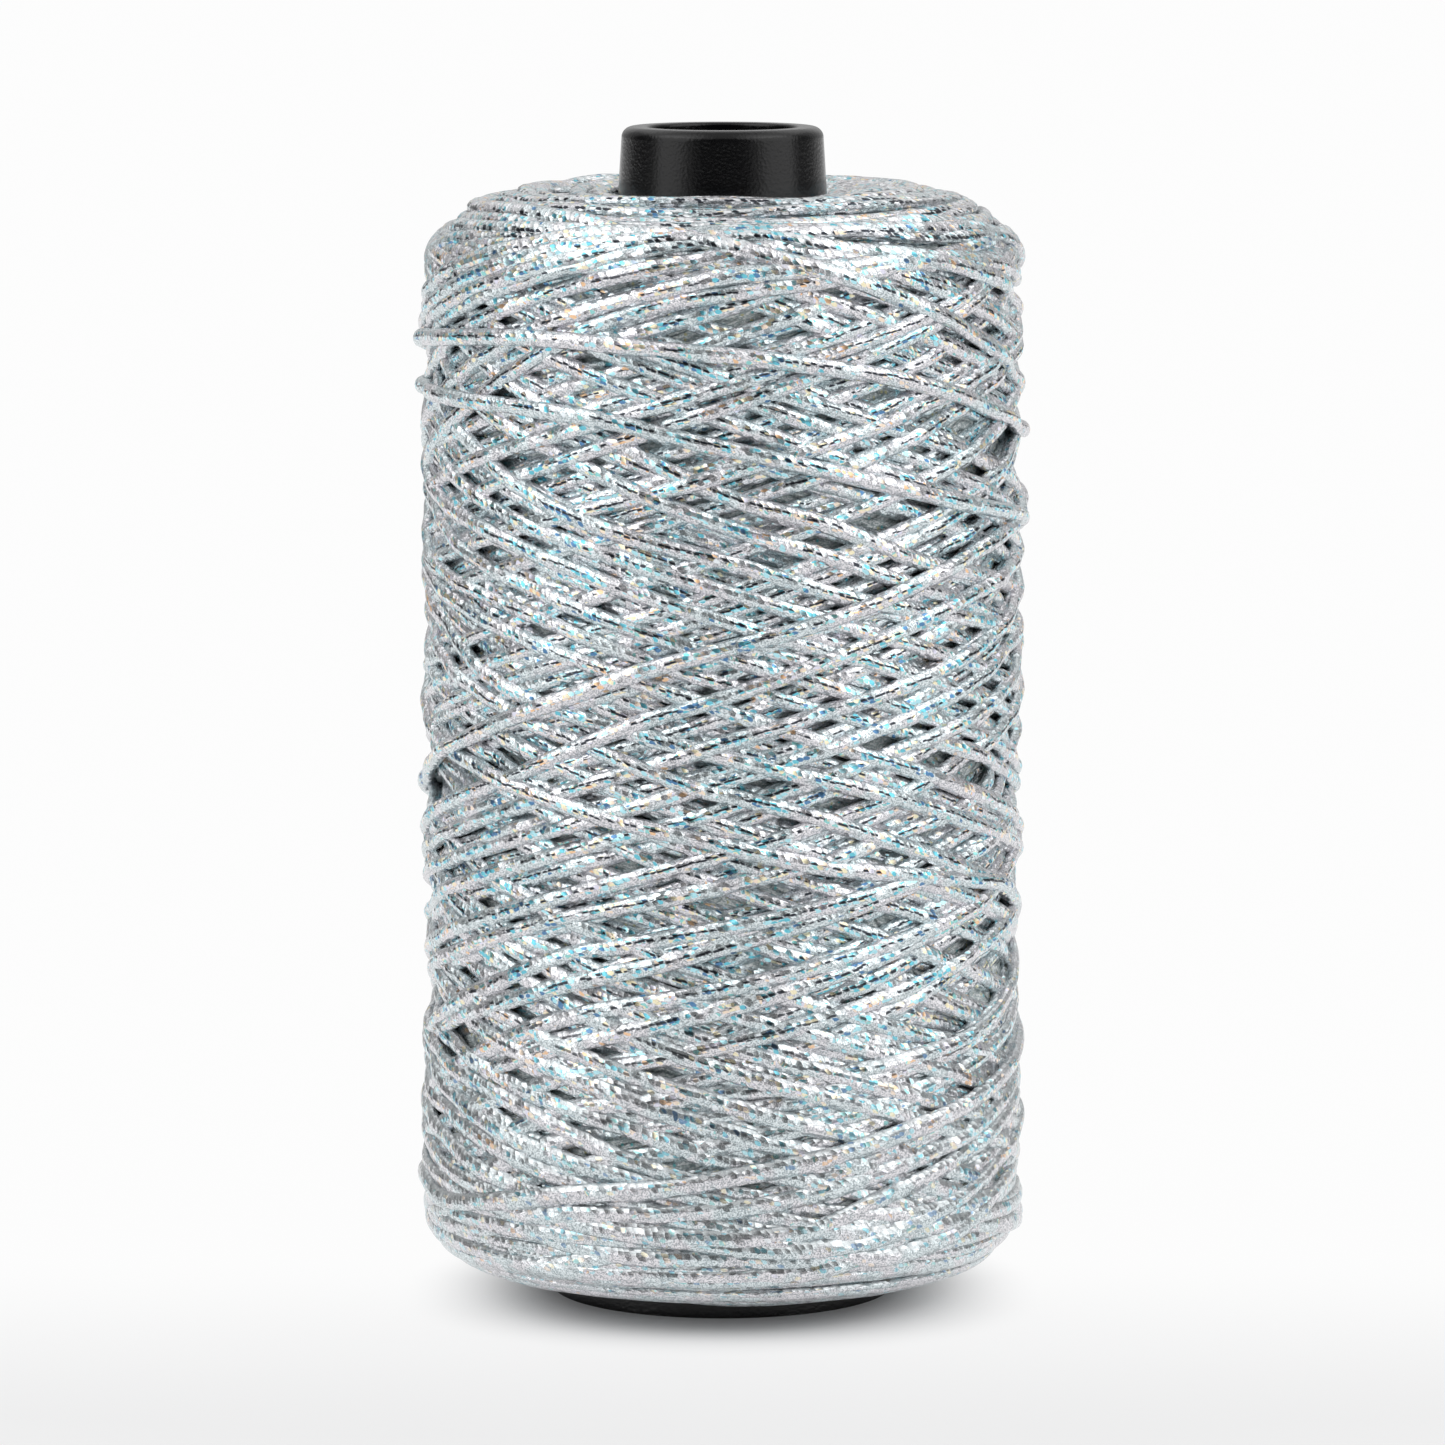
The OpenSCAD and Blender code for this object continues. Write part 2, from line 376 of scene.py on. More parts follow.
turn = np.arange(knots[0, 0], knots[-1, 0], TURN_STEP)
run = smoothed(np.interp(turn, knots[:, 0], knots[:, 1]), CORNER / TURN_STEP)
run += slow_noise(len(turn), int(WANDER_TURNS / TURN_STEP), WANDER)
near_ends = (run < CREST_RUN + NEAR_TOP) | (run > FULL_RUN - NEAR_FOOT)
at_ends = smoothed(1.0 * near_ends, END_SMOOTH / TURN_STEP)
run += at_ends * slow_noise(len(turn), int(END_WANDER_TURNS / TURN_STEP), END_WANDER)
pull_turn = []
pull_size = []
for whole_turn in sorted(strand_lines):
    degrees, heights = np.array(strand_lines[whole_turn]).T
    at = whole_turn + degrees / 360
    pull = run_at(heights) - np.interp(at, turn, run)
    pull_turn += [at[0] - EASE, *at, at[-1] + EASE]
    pull_size += [0, *pull, 0]
run += smoothed(np.interp(turn, pull_turn, pull_size), EASE_SMOOTH / TURN_STEP)
run = np.clip(run, LIMIT_RUN, FULL_RUN - LIMIT_RUN)
print("turns:", round(turn[-1] - turn[0]), "pull of the strand lines, mm:",
      round(min(pull_size), 1), "to", round(max(pull_size), 1))

# %% [markdown]
# ## Laying the cord
#
# Each strand rests on what lies below it. A physical simulation of hundreds of turns would take
# hours. A map of heights does the same work in seconds: the cord feels the map under its width, spans
# the dips as far as its tension lets it, is pressed a little into what carries it, and then raises
# the map by its own thickness. The path is worked through in pieces of half a turn, and the map is
# raised a little way behind, so that a strand never climbs on itself.

# %% What the cord feels under its width
CORD_WIDTH = 2.5
CORD_THICKNESS = 2.0
FELT_WIDTH = 2.3
FELT_POINTS = 9
RUN_CELL = 0.35
TURN_CELLS = 600
GROUND_RIPPLE = 0.25
RIPPLE_CELLS = 9
across = np.linspace(-FELT_WIDTH / 2, FELT_WIDTH / 2, FELT_POINTS)
belly = CORD_THICKNESS / 2 * (1 - np.sqrt(1 - (across / (CORD_WIDTH / 2)) ** 2))
along_run = np.gradient(run)
radius = radius_at(run)
along_arc = 2 * np.pi * radius * TURN_STEP
step_size = np.hypot(along_run, along_arc)
aside_run = run[:, None] + across * (along_arc / step_size)[:, None]
aside_turn = turn[:, None] - across * (along_run / step_size / (2 * np.pi * radius))[:, None]
rows = int(FULL_RUN / RUN_CELL) + 1
cell = np.clip((aside_run / RUN_CELL).astype(int), 0, rows - 1) * TURN_CELLS
cell += (aside_turn % 1 * TURN_CELLS).astype(int) % TURN_CELLS
cell_run = (np.arange(rows) + 0.5) * RUN_CELL
height_map = slow_noise(rows * TURN_CELLS, RIPPLE_CELLS, GROUND_RIPPLE)
print("map of heights:", rows, "by", TURN_CELLS, "cells; points of the path:", len(turn))

# %% How it lies on that
PRESSED = 1.25
PROUD = 0.9
TOUCH_SHARE = 0.5
MIDDLE_POINT = FELT_POINTS // 2
LEAN_ARM = 1.3
LEAN_SMOOTH = 8
SPAN = 34
SPAN_DROP = 0.05
SPAN_SMOOTH = 5
LEVEL_SMOOTH = 6


def seat_on(under, level):
    """Height at which the cord touches what is under it, never far above the level around it."""
    seat = TOUCH_SHARE * (under - belly).max(1) + (1 - TOUCH_SHARE) * under[:, 1:-1].mean(1)
    return level + np.minimum(seat - level, PROUD * np.tanh((seat - level) / PROUD))


def lean_on(under):
    """Angle at which the cord leans towards its lower side."""
    rise = under[:, MIDDLE_POINT + 1:].mean(1) - under[:, :MIDDLE_POINT].mean(1)
    return smoothed(np.arctan(rise / LEAN_ARM), LEAN_SMOOTH)


def spanned(seat, distance):
    """Height of the cord as it spans the dips of its seat, as far as its tension lets it."""
    height = seat.copy()
    for shift in range(1, SPAN + 1):
        drop = SPAN_DROP * (shift * distance) ** 2
        height[shift:] = np.maximum(height[shift:], seat[:-shift] - drop[shift:])
        height[:-shift] = np.maximum(height[:-shift], seat[shift:] - drop[:-shift])
    return smoothed(height, SPAN_SMOOTH)


# %% Laying it, half a turn at a time
BLOCK_TURNS = 0.5
BLOCK = int(BLOCK_TURNS / TURN_STEP)
BEHIND = 2 * SPAN + 10
rest = np.zeros(len(turn))
tilt = np.zeros(len(turn))
first_index = int(np.searchsorted(turn, first_shown))
bed_map = None
raised_to = 0
for start in range(0, len(turn), BLOCK):
    stop = min(start + BLOCK, len(turn))
    if bed_map is None and start > first_index:
        bed_map = height_map.copy()
    low = max(start - 2 * SPAN, 0)
    high = min(stop + 2 * SPAN, len(turn))
    level = smoothed(height_map.reshape(rows, TURN_CELLS).mean(1), LEVEL_SMOOTH)
    under = height_map[cell[low:high]]
    seat = seat_on(under, np.interp(run[low:high], cell_run, level))
    rest[start:stop] = spanned(seat, step_size[low:high])[start - low:stop - low]
    tilt[start:stop] = lean_on(under)[start - low:stop - low]
    raise_to = max(stop - BEHIND, raised_to)
    tops = rest[raised_to:raise_to, None] + CORD_THICKNESS - belly - PRESSED
    np.maximum.at(height_map, cell[raised_to:raise_to].ravel(), tops.ravel())
    raised_to = raise_to
height_map = height_map.reshape(rows, TURN_CELLS)
bed_map = bed_map.reshape(rows, TURN_CELLS)
print("laid in pieces of half a turn:", -(-len(turn) // BLOCK))

# %% Height of the pile's tops along the outline
ENVELOPE_REACH = 10
ENVELOPE_SHARE = 0.85
ENVELOPE_SMOOTH = 3
envelope = height_map.copy()
for shift in range(1, ENVELOPE_REACH + 1):
    dip = (radius_at(cell_run) * (1 - np.cos(2 * np.pi * shift / TURN_CELLS)))[:, None]
    for way in (-shift, shift):
        envelope = np.maximum(envelope, np.roll(height_map, way, axis=1) - dip)
envelope = smoothed(np.quantile(envelope, ENVELOPE_SHARE, axis=1), ENVELOPE_SMOOTH)
print("height of the pile, mm:", np.round(envelope[::60], 1))

# %% [markdown]
# ## From path to cord
#
# The pile is set so that its tops lie on the outline. On the shoulders the strands lie close and
# press each other flat, so there the cord is wider and thinner and the pile is less deep. The newest
# turns stand a little proud.
#
# A curve object with a bevel would make the tube, but it turns its section as it likes. Here each
# ring of points is placed from the direction of the strand and the outward direction of the winding,
# so the flat of the section lies on the package, tilted by what it rests on.

# %% Depth of the cord under the outline
FLAT_HEIGHTS = [24, 66, 147, 153]
FLAT_SHARES = [1, 0, 0, 0.55]
FLAT_SHALLOWER = 0.4
FLAT_THINNER = 0.12
FLAT_WIDER = 0.2
NEWEST_PROUD = 0.6
FIRST_PROUD = 2.4
PROUD_OVER = 0.4


def flattened(height):
    """How far the cord is pressed flat at a height: most at the foot, not at all along the side."""
    return np.interp(height, FLAT_HEIGHTS, FLAT_SHARES)


path_flat = flattened(np.interp(run, run_table, height_table))
top_depth = np.interp(run, cell_run, envelope) - rest - CORD_THICKNESS
lift = -top_depth * (1 - FLAT_SHALLOWER * path_flat) - CORD_THICKNESS / 2 * (1 - FLAT_THINNER * path_flat)
lift += NEWEST_PROUD * np.clip((turn - FIRST_PROUD) / PROUD_OVER, 0, 1)
print("newest turn's mean height over the outline, mm:", round(float(lift[-int(1 / TURN_STEP):].mean()), 2))

# %% Size, lift and tilt of each ring
RING_STEP = 0.9
TILT_SHARE = 0.45
MOST_TILT = 0.7
TILT_NOISE = (30, 0.14)
WIDTH_NOISE = (7, 0.05)
THICKNESS_NOISE = (5, 0.05)
TUCK = 12.0
TUCK_DEPTH = 3.2
shown = slice(first_index, None)
place, _ = on_outline(run[shown], turn[shown], lift[shown])
travelled = np.concatenate([[0], np.cumsum(np.linalg.norm(np.diff(place, axis=0), axis=1))])
cord_length = travelled[-1]
ring_at = np.linspace(0, cord_length, int(cord_length / RING_STEP))
ring_run = np.interp(ring_at, travelled, run[shown])
ring_turn = np.interp(ring_at, travelled, turn[shown])
ring_lift = np.interp(ring_at, travelled, lift[shown])
ring_tilt = TILT_SHARE * np.clip(np.interp(ring_at, travelled, tilt[shown]), -MOST_TILT, MOST_TILT)
ring_tilt += slow_noise(len(ring_at), *TILT_NOISE)
ring_width = CORD_WIDTH * (1 + slow_noise(len(ring_at), *WIDTH_NOISE))
ring_thickness = CORD_THICKNESS * (1 + slow_noise(len(ring_at), *THICKNESS_NOISE))
ring_flat = flattened(np.interp(ring_run, run_table, height_table))
ring_width *= 1 + FLAT_WIDER * ring_flat
ring_thickness *= 1 - FLAT_THINNER * ring_flat
tucked = np.clip(1 - np.minimum(ring_at, cord_length - ring_at) / TUCK, 0, 1)
ring_lift -= TUCK_DEPTH * tucked ** 2
print("cord, mm wide:", np.round([ring_width.min(), ring_width.max()], 2),
      "thick:", np.round([ring_thickness.min(), ring_thickness.max()], 2))

# %% Rings of points along the cord
RING_POINTS = 12
centre, out = on_outline(ring_run, ring_turn, ring_lift)
ahead = np.gradient(centre, axis=0)
ahead /= np.linalg.norm(ahead, axis=1)[:, None]
out -= ahead * (out * ahead).sum(1)[:, None]
out /= np.linalg.norm(out, axis=1)[:, None]
side = np.cross(ahead, out)
cos_tilt = np.cos(ring_tilt)[:, None]
sin_tilt = np.sin(ring_tilt)[:, None]
out, side = out * cos_tilt + side * sin_tilt, side * cos_tilt - out * sin_tilt
angle = 2 * np.pi * np.arange(RING_POINTS) / RING_POINTS - np.pi / 2
rings = (centre[:, None]
         + side[:, None] * (np.cos(angle) * ring_width[:, None] / 2)[..., None]
         + out[:, None] * (np.sin(angle) * ring_thickness[:, None] / 2)[..., None])
print("cord shown:", round(cord_length * MM, 1), "m in", len(rings), "rings; widest radius, mm:",
      round(np.hypot(rings[..., 0], rings[..., 1]).max(), 2), "height:",
      np.round([rings[..., 2].min(), rings[..., 2].max()], 2))

# %% [markdown]
# ## Pieces of cord
#
# One mesh of the whole cord would be slow to handle and too large for one bake, so it is cut into
# pieces of equal length, each a closed tube. Each piece gets two maps: one that packs its length in
# strips, for a later bake, and one in millimetres along and around the cord, which the finish of the
# cord is drawn in. Each point also keeps how deep it lies, for the shade of the finish.

# %% Pieces of cord as meshes
STRIP_RINGS = 190
STRIPS = 19
PIECE_RINGS = STRIP_RINGS * STRIPS + 1
STRIP_MARGIN = 0.04
STRIP_END = 0.003
FIRST_CAP_SPOT = [STRIP_END, 0.01 / STRIPS]
LAST_CAP_SPOT = [0.99, 0.99]
GIRTH = np.pi * (CORD_WIDTH + CORD_THICKNESS) / 2


def mesh_object(name, points, faces, corner_maps, depth):
    """A smooth mesh object of points in millimetres, with maps of its corners and its points' depth."""
    mesh = bpy.data.meshes.new(name)
    mesh.from_pydata((points * MM).tolist(), [], faces)
    mesh.attributes.new("depth", "FLOAT", "POINT").data.foreach_set("value", np.asarray(depth, float))
    for map_name, corners in corner_maps.items():
        mesh.uv_layers.new(name=map_name).data.foreach_set("uv", np.asarray(corners, float).ravel())
    mesh.shade_smooth()
    made = bpy.data.objects.new(name, mesh)
    bpy.context.scene.collection.objects.link(made)
    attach(made, "root")
    return made


def corner_map(left, low, right, high):
    """Places in a map of the four corners of each face."""
    return np.stack([left, low, left, high, right, high, right, low], -1).reshape(-1, 2)


def cord_piece(name, first, last):
    """The tube through rings first to last, closed at both ends, with its two maps."""
    count = last - first
    here = np.arange(count - 1)[:, None] * RING_POINTS
    spot = np.arange(RING_POINTS)
    after = (spot + 1) % RING_POINTS
    quads = np.stack([here + spot, here + after, here + RING_POINTS + after,
                      here + RING_POINTS + spot], -1).reshape(-1, 4)
    caps = [list(reversed(range(RING_POINTS))), [(count - 1) * RING_POINTS + k for k in spot]]
    ring = np.arange(count - 1)
    strip = ring // STRIP_RINGS
    left = (ring % STRIP_RINGS) / STRIP_RINGS
    right = left + 1 / STRIP_RINGS
    low = (strip[:, None] + STRIP_MARGIN + (1 - 2 * STRIP_MARGIN) * spot / RING_POINTS) / STRIPS
    high = (strip[:, None] + STRIP_MARGIN + (1 - 2 * STRIP_MARGIN) * (spot + 1) / RING_POINTS) / STRIPS
    left = np.broadcast_to(left[:, None], low.shape) * (1 - 2 * STRIP_END) + STRIP_END
    right = np.broadcast_to(right[:, None], low.shape) * (1 - 2 * STRIP_END) + STRIP_END
    strips = corner_map(left, low, right, high)
    start = ring_at[first:last - 1, None] + 0 * low
    end = ring_at[first + 1:last, None] + 0 * low
    below = GIRTH * spot / RING_POINTS + 0 * low
    above = GIRTH * (spot + 1) / RING_POINTS + 0 * low
    along = corner_map(start, below, end, above)
    cap_strips = [FIRST_CAP_SPOT] * RING_POINTS + [LAST_CAP_SPOT] * RING_POINTS
    cap_along = [[ring_at[first], 0.0]] * RING_POINTS + [[ring_at[last - 1], 0.0]] * RING_POINTS
    return mesh_object(name, rings[first:last].reshape(-1, 3), quads.tolist() + caps,
                       {"OFBake": np.concatenate([strips, cap_strips]),
                        "cord": np.concatenate([along, cap_along])},
                       np.repeat(-ring_lift[first:last], RING_POINTS))


cord_pieces = []
for number, first in enumerate(range(0, len(rings) - 1, PIECE_RINGS - 1)):
    last = min(first + PIECE_RINGS, len(rings))
    cord_pieces.append(cord_piece(f"cord_length_{number + 1:02d}", first, last))
print("cord pieces:", len(cord_pieces))

# %% [markdown]
# ## The layers underneath
#
# Between the strands the layers below show as a darker ground with a faint ripple. They need no
# strands of their own: the map of heights as it was before the shown cord was laid gives the ripple
# of their skin, a little below the outline. It is closed along the tube, so the mesh is a solid ring.

# %% Bed of older layers
BED_COLUMNS = 330
BED_ROW = 0.8
BED_DEPTH = 2.15
BED_DEPTH_FLAT = 1.35
BED_RIPPLE = 0.7
BED_RIPPLE_FLAT = 0.35
BED_TOP_EDGE = 0.4
BED_FOOT_EDGE = 0.3
bed_run = np.arange(BED_TOP_EDGE, FULL_RUN - BED_FOOT_EDGE, BED_ROW)
bed_turn = np.arange(BED_COLUMNS) / BED_COLUMNS
bed_rows = np.clip((bed_run / RUN_CELL).astype(int), 0, rows - 1)
bed_columns = (bed_turn * TURN_CELLS).astype(int)
bed_lift = bed_map[bed_rows[:, None], bed_columns]
bed_lift = (bed_lift + np.roll(bed_lift, 1, 1) + np.roll(bed_lift, -1, 1)) / 3
bed_flat = flattened(np.interp(bed_run, run_table, height_table))[:, None]
bed_depth = BED_DEPTH + (BED_DEPTH_FLAT - BED_DEPTH) * bed_flat
bed_ripple = BED_RIPPLE + (BED_RIPPLE_FLAT - BED_RIPPLE) * bed_flat
bed_lift = bed_ripple * (bed_lift - bed_lift.mean(1)[:, None]) - bed_depth
bed_points, _ = on_outline(np.repeat(bed_run, BED_COLUMNS), np.tile(bed_turn, len(bed_run)),
                           bed_lift.ravel())
row = np.arange(len(bed_run))[:, None]
column = np.arange(BED_COLUMNS)
next_row = (row + 1) % len(bed_run)
next_column = (column + 1) % BED_COLUMNS
bed_faces = np.stack([row * BED_COLUMNS + column, next_row * BED_COLUMNS + column,
                      next_row * BED_COLUMNS + next_column, row * BED_COLUMNS + next_column],
                     -1).reshape(-1, 4)
left = np.broadcast_to(column / BED_COLUMNS, (len(bed_run), BED_COLUMNS))
low = np.broadcast_to(row / len(bed_run), left.shape)
right = left + 1 / BED_COLUMNS
high = low + 1 / len(bed_run)
bed_strips = corner_map(left, low, right, high)
bed_along = bed_strips * [2 * np.pi * SIDE_RADIUS, len(bed_run) * BED_ROW]
bed = mesh_object("bed_of_cord", bed_points, bed_faces.tolist(),
                  {"OFBake": bed_strips, "cord": bed_along}, -bed_lift.ravel())
print("bed, mm deep at mid height:", round(-float(bed_lift[len(bed_run) // 2].mean()), 2))

# %% [markdown]
# ## A short way to write finishes
#
# A finish is a tree of nodes. Written out node by node, its sums are hard to read. A small class
# wraps an output socket, so that a plain expression adds the Math nodes, and one method adds any
# other node.

# %% Wires and finishes


class Wire:
    """An output socket that can be used in a sum."""

    def __init__(self, finish, socket):
        self.finish = finish
        self.socket = socket

    def out(self, name):
        """Another output of the same node."""
        return Wire(self.finish, self.socket.node.outputs[name])

    def __add__(self, other):
        return self.finish.maths("ADD", self, other)

    def __radd__(self, other):
        return self.finish.maths("ADD", other, self)

    def __sub__(self, other):
        return self.finish.maths("SUBTRACT", self, other)

    def __rsub__(self, other):
        return self.finish.maths("SUBTRACT", other, self)

    def __mul__(self, other):
        return self.finish.maths("MULTIPLY", self, other)

    def __rmul__(self, other):
        return self.finish.maths("MULTIPLY", other, self)

    def __truediv__(self, other):
        return self.finish.maths("DIVIDE", self, other)


class Finish:
    """The node tree of a material or of the world, being written."""

    def __init__(self, owner):
        owner.use_nodes = True
        self.owner = owner
        self.tree = owner.node_tree
        self.tree.nodes.clear()

    def add(self, kind, settings=None, inputs=None, output=0):
        """Adds a node: its settings first, then the values or wires of its inputs."""
        node = self.tree.nodes.new("ShaderNode" + kind)
        for key, value in (settings or {}).items():
            if key == "stops":
                self.set_stops(node.color_ramp, value)
            else:
                setattr(node, key, value)
        for key, value in (inputs or {}).items():
            if isinstance(value, Wire):
                self.tree.links.new(value.socket, node.inputs[key])
            else:
                node.inputs[key].default_value = value
        return Wire(self, node.outputs[output]) if node.outputs else None

    def set_stops(self, ramp, stops):
        """Stops of a colour ramp as (position, colour)."""
        while len(ramp.elements) < len(stops):
            ramp.elements.new(0.5)
        for element, (position, colour) in zip(ramp.elements, stops):
            element.position = position
            element.color = (*colour, 1)

    def maths(self, operation, *values):
        """A Math node on values or wires."""
        return self.add("Math", {"operation": operation}, dict(enumerate(values)))

    def step(self, value, low, high):
        """0 below low and 1 above high, smooth between them."""
        return self.add("MapRange", {"interpolation_type": "SMOOTHSTEP"},
                        {"Value": value, "From Min": low, "From Max": high})

    def band(self, value, low, low_full, high_full, high):
        """1 from low_full to high_full and 0 outside low and high, smooth at both edges."""
        return self.step(value, low, low_full) - self.step(value, high_full, high)

    def mix(self, share, first, second, blend="MIX"):
        """A mix of two colours."""
        first, second = ((*c, 1) if isinstance(c, tuple) else c for c in (first, second))
        return self.add("Mix", {"data_type": "RGBA", "blend_type": blend},
                        {0: share, 6: first, 7: second}, 2)

    def tinted(self, colour, tint):
        """A colour multiplied by another."""
        return self.mix(1.0, colour, tint, "MULTIPLY")

    def channels(self, colour):
        """The red of a colour, with its green and blue as other outputs."""
        return self.add("SeparateColor", None, {0: colour})

    def axes(self, vector):
        """The X of a vector, with its Y and Z as other outputs."""
        return self.add("SeparateXYZ", None, {0: vector})

    def vector(self, operation, *values, output=0):
        """A Vector Math node."""
        return self.add("VectorMath", {"operation": operation}, dict(enumerate(values)), output)

    def noise(self, place, scale, **inputs):
        """Flat noise over a map, scale of its waves to each unit."""
        return self.add("TexNoise", {"noise_dimensions": "2D"}, {"Vector": place, "Scale": scale, **inputs})

    def cells(self, place, scale, **inputs):
        """Flat cells over a map, scale of them to each unit."""
        return self.add("TexVoronoi", {"voronoi_dimensions": "2D"},
                        {"Vector": place, "Scale": scale, **inputs})

    def bump(self, relief, unit=MM):
        """The normal of a relief, whose height is given in that unit."""
        return self.add("Bump", None, {"Strength": 1.0, "Distance": unit, "Height": relief})

    def skin(self, **inputs):
        """The Principled shader as the surface, with sockets named by their labels."""
        named = {key.replace("_", " ").title().replace("Ior", "IOR"): value for key, value in inputs.items()}
        shader = self.add("BsdfPrincipled", None, named)
        self.add("OutputMaterial", None, {"Surface": shader})


def new_finish(name):
    """A new material and the finish that writes it."""
    return Finish(bpy.data.materials.new(name))


def at_least(low, share):
    """A factor that is low where a share is 0, and 1 where it is 1."""
    return low + (1 - low) * share


# %% [markdown]
# ## The cord's finish
#
# The cord is a fine knitted tube of metallised thread. Its stitches are slanted facets less than a
# millimetre long. Each mirrors another part of the room, so along a strand white, black and coloured
# glints take turns, while between them fine fibres scatter a soft grey. Here those glints are painted
# into the cord's colour, as painted highlights and painted reflections. A picture of such a cord
# would repeat and smear. Cells of a slanted pattern, in millimetres along and around the cord, give
# every stitch its own lean and three random numbers to draw its look by. Slow patches make one
# stretch of cord warmer, darker or more colourful than the next.

# %% Stitches, fibres and patches
STITCH_LENGTH = 0.92
STITCH_WIDTH = 0.6
STITCH_SLANT = 0.6
STITCH_UNEVEN = 0.6
FIBRES_ALONG = 0.55
FIBRES_AROUND = 7.0
FIBRE_SLANT = 0.4
FIBRE_LEAN = 0.6
PATCHES_A_MM = 0.16
SPECKS_A_MM = 7.0
cord = new_finish("metallic_cord")
cord_place = cord.add("UVMap", {"uv_map": "cord"})
along = cord.axes(cord_place)
around = along.out("Y")
slanted = (along + around * STITCH_SLANT) / STITCH_LENGTH
stitch_place = cord.add("CombineXYZ", None, {0: slanted, 1: around / STITCH_WIDTH})
stitch = cord.cells(stitch_place, 1.0, Randomness=STITCH_UNEVEN)
fibre_along = along * FIBRES_ALONG + around * FIBRE_SLANT
fibre_around = around * FIBRES_AROUND - along * FIBRE_LEAN
fibre_place = cord.add("CombineXYZ", None, {0: fibre_along, 1: fibre_around})
fibre = cord.noise(fibre_place, 1.0, Detail=3.0, Roughness=0.7)
patch = cord.noise(cord_place, PATCHES_A_MM, Detail=2.0)
grain = cord.channels(cord.cells(cord_place, SPECKS_A_MM).out("Color"))
stitch_chance = cord.channels(stitch.out("Color"))
second_chance = stitch_chance.out("Green")
third_chance = stitch_chance.out("Blue")
patch_parts = cord.channels(patch.out("Color"))
print("a stitch, mm:", STITCH_LENGTH, "by", STITCH_WIDTH)

# %% Relief of the stitches
FACET_RELIEF = 0.21
FIBRE_RELIEF = 0.008
EDGE_RELIEF = 0.10
lean = cord.vector("SUBTRACT", stitch.out("Color"), (0.5, 0.5, 0.5))
offset = cord.vector("SUBTRACT", stitch_place, stitch.out("Position"))
facet = cord.vector("DOT_PRODUCT", lean, offset, output="Value")
relief = facet * FACET_RELIEF + fibre * FIBRE_RELIEF - stitch * stitch * EDGE_RELIEF
cord_normal = cord.bump(relief)

# %% [markdown]
# ## Where glints and shadows lie on a strand
#
# Along the side of the package, how far a point of a strand faces up or down says where on the strand
# it is: the ridge is where it faces outwards, and just above that the strand turns to the dark of
# the room. Glints and dark stitches are painted there, by that place. On the domed top every strand
# faces up, so there the place around the cord's own section says the same, and the flanks of each
# strand get painted shade. Near the foot there is less to mirror: fewer painted glints, and the upper
# faces of the strands get painted shade, a darker grey in place of their highlights.

# %% Places on the winding and on the strand
FOOT_EDGE = (0.012, 0.055)
FOOT_SHADE_EDGE = (0.012, 0.075)
FOOT_SHADE_FACING = (0.0, 0.45)
DOME_EDGE = (0.150, 0.157)
RIDGE_FACING = (-0.38, -0.12, 0.35, 0.55)
RIDGE_SECTION = (0.28, 0.34, 0.62, 0.68)
SHADED_FLANK_EDGE = (0.10, 0.20)
BEAD_EDGE = (0.45, 0.58)
facing_up = cord.axes(cord.add("NewGeometry").out("Normal")).out("Z")
height_up = cord.axes(cord.add("TexCoord").out("Object")).out("Z")
section = around / GIRTH
above_foot = cord.step(height_up, *FOOT_EDGE)
on_dome = cord.step(height_up, *DOME_EDGE)
ridge_by_facing = cord.band(facing_up, *RIDGE_FACING)
ridge_by_section = cord.band(section, *RIDGE_SECTION)
on_ridge = ridge_by_facing * (1 - on_dome) + ridge_by_section * on_dome
# Painted shade: near the foot the upward faces of the strands are darker, in place of their highlights.
painted_foot_shade = (1 - cord.step(height_up, *FOOT_SHADE_EDGE)) * cord.step(facing_up, *FOOT_SHADE_FACING)
# Painted shade on the flanks of the strands on the dome, between the rows.
painted_flank_shade = cord.step(cord.maths("ABSOLUTE", section - 0.5), *SHADED_FLANK_EDGE) * on_dome
bead = 1 - cord.step(stitch, *BEAD_EDGE)

# %% Soft grey of the fibres
SILVER = (0.82, 0.89, 0.91)
WARM_SILVER = (0.89, 0.87, 0.90)
FIBRE_SHADE = (0.50, 0.53, 0.54)
PAINTED_FOOT_SHADE_COLOUR = (0.50, 0.53, 0.54)
FOOT_SHADE_SHARE = 0.9
FLANK_SHADE_SHARE = 0.8
WARM_EDGE = (0.42, 0.58)
LIT_EDGE = (0.30, 0.66)
tone = cord.mix(cord.step(patch, *WARM_EDGE), SILVER, WARM_SILVER)
lit = cord.step(fibre * 0.5 + grain * 0.5, *LIT_EDGE)
fibres = cord.mix(lit, cord.tinted(tone, FIBRE_SHADE), tone)
# Painted shade over the fibres' grey: near the foot on the upward faces, on the dome on the strands' flanks.
fibres = cord.mix(painted_foot_shade * FOOT_SHADE_SHARE, fibres, PAINTED_FOOT_SHADE_COLOUR)
fibres = cord.mix(painted_flank_shade * FLANK_SHADE_SHARE, fibres, cord.tinted(fibres, FIBRE_SHADE))

# %% [markdown]
# ## Painted glints and painted dark stitches
#
# A glint is the bead in the middle of a stitch, painted into the cord's colour. A colour ramp with
# sharp steps holds the colours that the thread splits light into, from blue and teal through white to
# orange; on the dome about half the glints are painted white highlights. The first random number of a
# stitch draws whether it is a glint, against a share that is high on the ridge in a colourful patch.
# The second draws the dark stitches of the band above the ridge, painted reflections of the dark room,
# and the third the colour.

